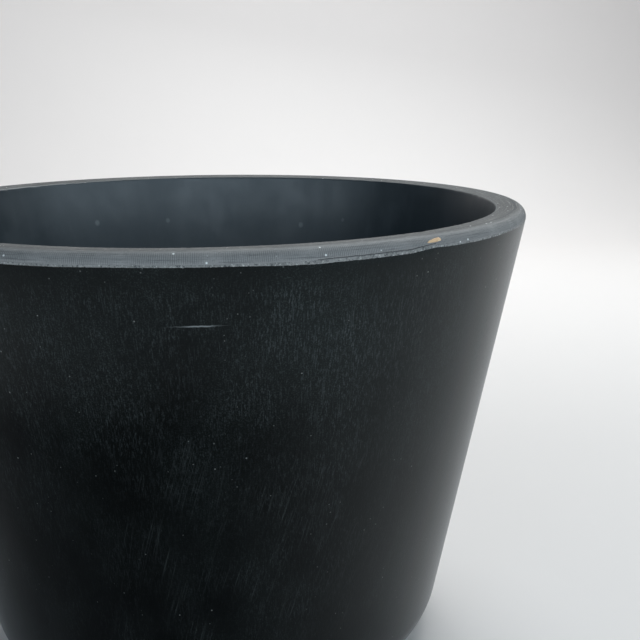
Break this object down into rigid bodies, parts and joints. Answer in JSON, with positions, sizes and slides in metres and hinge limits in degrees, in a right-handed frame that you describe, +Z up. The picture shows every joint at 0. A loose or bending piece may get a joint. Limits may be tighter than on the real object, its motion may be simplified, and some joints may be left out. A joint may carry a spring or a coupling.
{
  "type": "plant pot",
  "caption": "Round tapered plant pot with a thick wall and rounded rim, a lift-out drainage insert with legs and a handle, and a rubber drain plug pulled from below.",
  "frame": {"origin": "on the pot's axis, at ground level", "axes": "+Z up along the pot's axis, +X along the insert's handle"},
  "size_m": [0.2, 0.2, 0.145],
  "materials": {
    "composite": "matt, sanded outside, machined rim in lighter grey",
    "insert_plastic": "fine moulded grain",
    "plug_rubber": "matt"
  },
  "bodies": {
    "pot": {"pot_shell": "composite"},
    "insert": {"drainage_insert": "insert_plastic"},
    "plug": {"drain_plug": "plug_rubber"}
  },
  "joints": [
    {"name": "insert_lift", "type": "slide", "parent": "pot", "child": "insert", "axis": [0, 0, 1], "range_m": [0, 0.16]},
    {"name": "plug_pull", "type": "slide", "parent": "pot", "child": "plug", "axis": [0, 0, -1], "range_m": [0, 0.02]}
  ]
}
